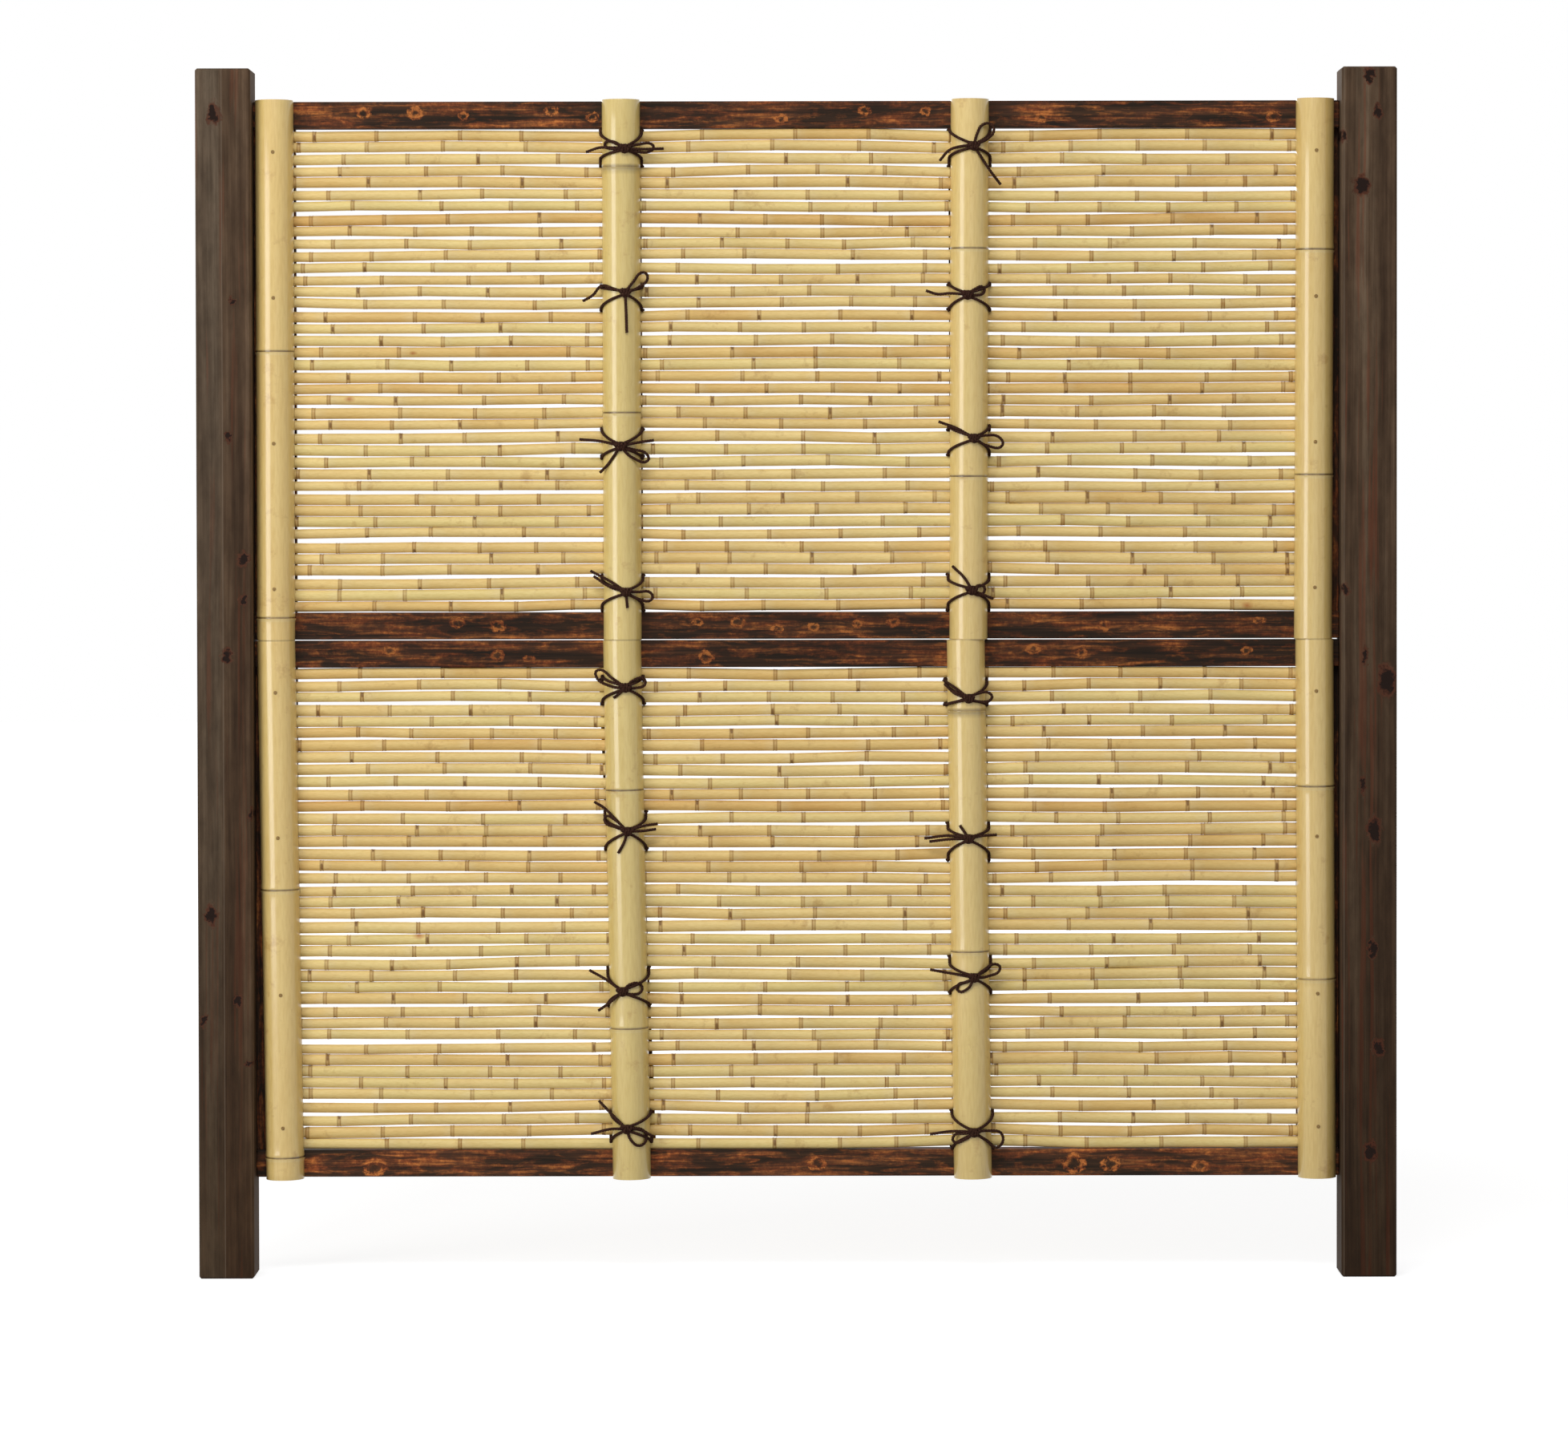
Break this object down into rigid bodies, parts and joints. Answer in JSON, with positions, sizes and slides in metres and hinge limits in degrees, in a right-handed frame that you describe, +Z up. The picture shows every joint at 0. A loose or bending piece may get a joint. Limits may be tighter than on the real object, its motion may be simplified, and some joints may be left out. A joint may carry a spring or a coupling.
{
  "type": "bamboo screen fence bay",
  "caption": "Garden fence bay: two stacked panels of thin horizontal bamboo culms with half-split uprights and rope ties, between two square timber posts.",
  "frame": {"origin": "on the ground, midway between the two posts and in the middle of their depth", "axes": "+X along the fence to the right as seen from its face, +Y from the face to the back, +Z up"},
  "size_m": [1.783, 0.082, 1.8],
  "materials": {
    "post_timber": "sawn cedar, dark brown stain",
    "burnt_timber": "burnt and brushed cedar, satin",
    "thin_culm": "natural bamboo, satin",
    "split_culm": "natural bamboo, polished skin",
    "rope": "dyed twisted palm rope",
    "nail": "dull nail heads"
  },
  "bodies": {
    "root": {"left_post": "post_timber", "right_post": "post_timber", "lower_bottom_rail": "burnt_timber", "lower_top_rail": "burnt_timber", "lower_left_stile": "burnt_timber", "lower_right_stile": "burnt_timber", "lower_rod_screen": "thin_culm", "lower_mid_right_batten": "burnt_timber", "lower_left_split_culm": "split_culm", "lower_mid_left_split_culm": "split_culm", "lower_mid_right_split_culm": "split_culm", "lower_right_split_culm": "split_culm", "lower_mid_left_rope_tie_1": "rope", "lower_mid_left_rope_tie_2": "rope", "lower_mid_left_rope_tie_3": "rope", "lower_mid_left_rope_tie_4": "rope", "lower_mid_right_rope_tie_1": "rope", "lower_mid_right_rope_tie_2": "rope", "lower_mid_right_rope_tie_3": "rope", "lower_mid_right_rope_tie_4": "rope", "upper_bottom_rail": "burnt_timber", "upper_top_rail": "burnt_timber", "upper_left_stile": "burnt_timber", "upper_right_stile": "burnt_timber", "upper_rod_screen": "thin_culm", "upper_mid_right_batten": "burnt_timber", "upper_left_split_culm": "split_culm", "upper_mid_left_split_culm": "split_culm", "upper_mid_right_split_culm": "split_culm", "upper_right_split_culm": "split_culm", "upper_mid_left_rope_tie_1": "rope", "upper_mid_left_rope_tie_2": "rope", "upper_mid_left_rope_tie_3": "rope", "upper_mid_left_rope_tie_4": "rope", "upper_mid_right_rope_tie_1": "rope", "upper_mid_right_rope_tie_2": "rope", "upper_mid_right_rope_tie_3": "rope", "upper_mid_right_rope_tie_4": "rope"}
  },
  "joints": []
}
